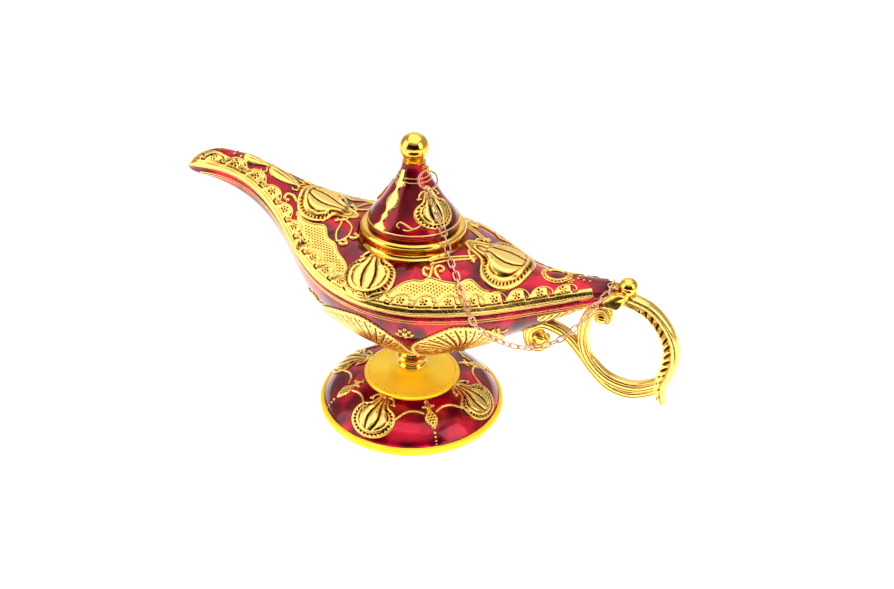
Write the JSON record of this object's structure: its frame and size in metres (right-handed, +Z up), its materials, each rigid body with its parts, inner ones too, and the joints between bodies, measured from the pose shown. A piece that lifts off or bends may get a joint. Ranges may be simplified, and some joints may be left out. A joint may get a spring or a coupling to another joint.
{
  "type": "genie oil lamp",
  "caption": "Footed genie oil lamp with a long upturned spout, a scrolled ring handle and a lift-off conical lid tied to the handle by a chain.",
  "frame": {"origin": "centre of the foot's underside, on the surface that the lamp stands on", "axes": "+Z up along the lamp's axis, +X from the spout to the handle"},
  "size_m": [0.2016, 0.076, 0.1177],
  "materials": {
    "gold": "polished gold plate",
    "satin_gold": "satin gold plate",
    "enamel": "clear-coated crimson enamel",
    "chain_gold": "rose gold plate",
    "steel": "zinc plated",
    "felt": "pressed felt"
  },
  "bodies": {
    "root": {"foot_plate": "gold", "foot_bell": "satin_gold", "stem_collar": "gold", "base_pad": "felt", "foot_screw": "steel", "foot_washer": "steel", "bowl_washer": "steel", "bowl_nut": "steel", "lower_shell": "enamel", "upper_shell": "enamel", "mouth_collar": "gold", "handle": "gold", "handle_screw": "steel", "handle_washer": "steel", "scroll_rivet": "steel", "handle_jump_ring": "chain_gold"},
    "lid": {"lid_flange": "gold", "lid_spigot": "gold", "lid_cone": "enamel", "lid_finial": "gold", "lid_nut": "steel", "lid_jump_ring": "chain_gold"},
    "chain_10_links": {"chain_10": "chain_gold"},
    "chain_09_links": {"chain_09": "chain_gold"},
    "chain_08_links": {"chain_08": "chain_gold"},
    "chain_07_links": {"chain_07": "chain_gold"},
    "chain_06_links": {"chain_06": "chain_gold"},
    "chain_05_links": {"chain_05": "chain_gold"},
    "chain_04_links": {"chain_04": "chain_gold"},
    "chain_03_links": {"chain_03": "chain_gold"},
    "chain_02_links": {"chain_02": "chain_gold"},
    "chain_01_links": {"chain_01": "chain_gold"}
  },
  "joints": [
    {"name": "lid_lift", "type": "slide", "parent": "root", "child": "lid", "axis": [0, 0, 1], "range_m": [0, 0.017]},
    {"name": "chain_10_swing", "type": "hinge", "parent": "root", "child": "chain_10_links", "pos_m": [0.077, -0.0029, 0.0734], "axis": [-0.6992, 0.6925, -0.1776], "range_deg": [0, 15.06]},
    {"name": "chain_09_swing", "type": "hinge", "parent": "chain_10_links", "child": "chain_09_links", "pos_m": [0.07182, -0.00743, 0.06552], "axis": [-0.6248, 0.7803, -0.0276], "range_deg": [0, 8.88]},
    {"name": "chain_08_swing", "type": "hinge", "parent": "chain_09_links", "child": "chain_08_links", "pos_m": [0.06564, -0.00887, 0.05532], "axis": [-0.6504, -0.6405, 0.4084], "range_deg": [0, 3.53]},
    {"name": "chain_07_swing", "type": "hinge", "parent": "chain_08_links", "child": "chain_07_links", "pos_m": [0.05647, -0.01344, 0.04948], "axis": [0.4801, -0.8771, 0.0151], "range_deg": [0, 7.12]},
    {"name": "chain_06_swing", "type": "hinge", "parent": "chain_07_links", "child": "chain_06_links", "pos_m": [0.0462, -0.01923, 0.05072], "axis": [0.597, -0.6893, -0.4104], "range_deg": [0, 9.01]},
    {"name": "chain_05_swing", "type": "hinge", "parent": "chain_06_links", "child": "chain_05_links", "pos_m": [0.03773, -0.02473, 0.05718], "axis": [0.683, -0.3496, -0.6414], "range_deg": [0, 9.38]},
    {"name": "chain_04_swing", "type": "hinge", "parent": "chain_05_links", "child": "chain_04_links", "pos_m": [0.03221, -0.02726, 0.06717], "axis": [0.8872, 0.1568, -0.4339], "range_deg": [0, 14.72]},
    {"name": "chain_03_swing", "type": "hinge", "parent": "chain_04_links", "child": "chain_03_links", "pos_m": [0.02549, -0.02041, 0.07414], "axis": [0.8293, 0.2205, -0.5135], "range_deg": [0, 8.31]},
    {"name": "chain_02_swing", "type": "hinge", "parent": "chain_03_links", "child": "chain_02_links", "pos_m": [0.01874, -0.0126, 0.07995], "axis": [-0.4779, -0.8386, 0.2616], "range_deg": [0, 7.82]},
    {"name": "chain_01_swing", "type": "hinge", "parent": "chain_02_links", "child": "chain_01_links", "pos_m": [0.01332, -0.00866, 0.0897], "axis": [-0.5843, -0.8057, 0.0971], "range_deg": [0, 3.17]}
  ],
  "couplings": [
    {"joint": "chain_10_swing", "follows": "lid_lift", "rad_per_m": 14.943},
    {"joint": "chain_09_swing", "follows": "lid_lift", "rad_per_m": 8.6039},
    {"joint": "chain_08_swing", "follows": "lid_lift", "rad_per_m": 3.1059},
    {"joint": "chain_07_swing", "follows": "lid_lift", "rad_per_m": 6.7934},
    {"joint": "chain_06_swing", "follows": "lid_lift", "rad_per_m": 8.7365},
    {"joint": "chain_05_swing", "follows": "lid_lift", "rad_per_m": 9.1128},
    {"joint": "chain_04_swing", "follows": "lid_lift", "rad_per_m": 14.604},
    {"joint": "chain_03_swing", "follows": "lid_lift", "rad_per_m": 8.0135},
    {"joint": "chain_02_swing", "follows": "lid_lift", "rad_per_m": 7.5114},
    {"joint": "chain_01_swing", "follows": "lid_lift", "rad_per_m": 2.7422}
  ]
}
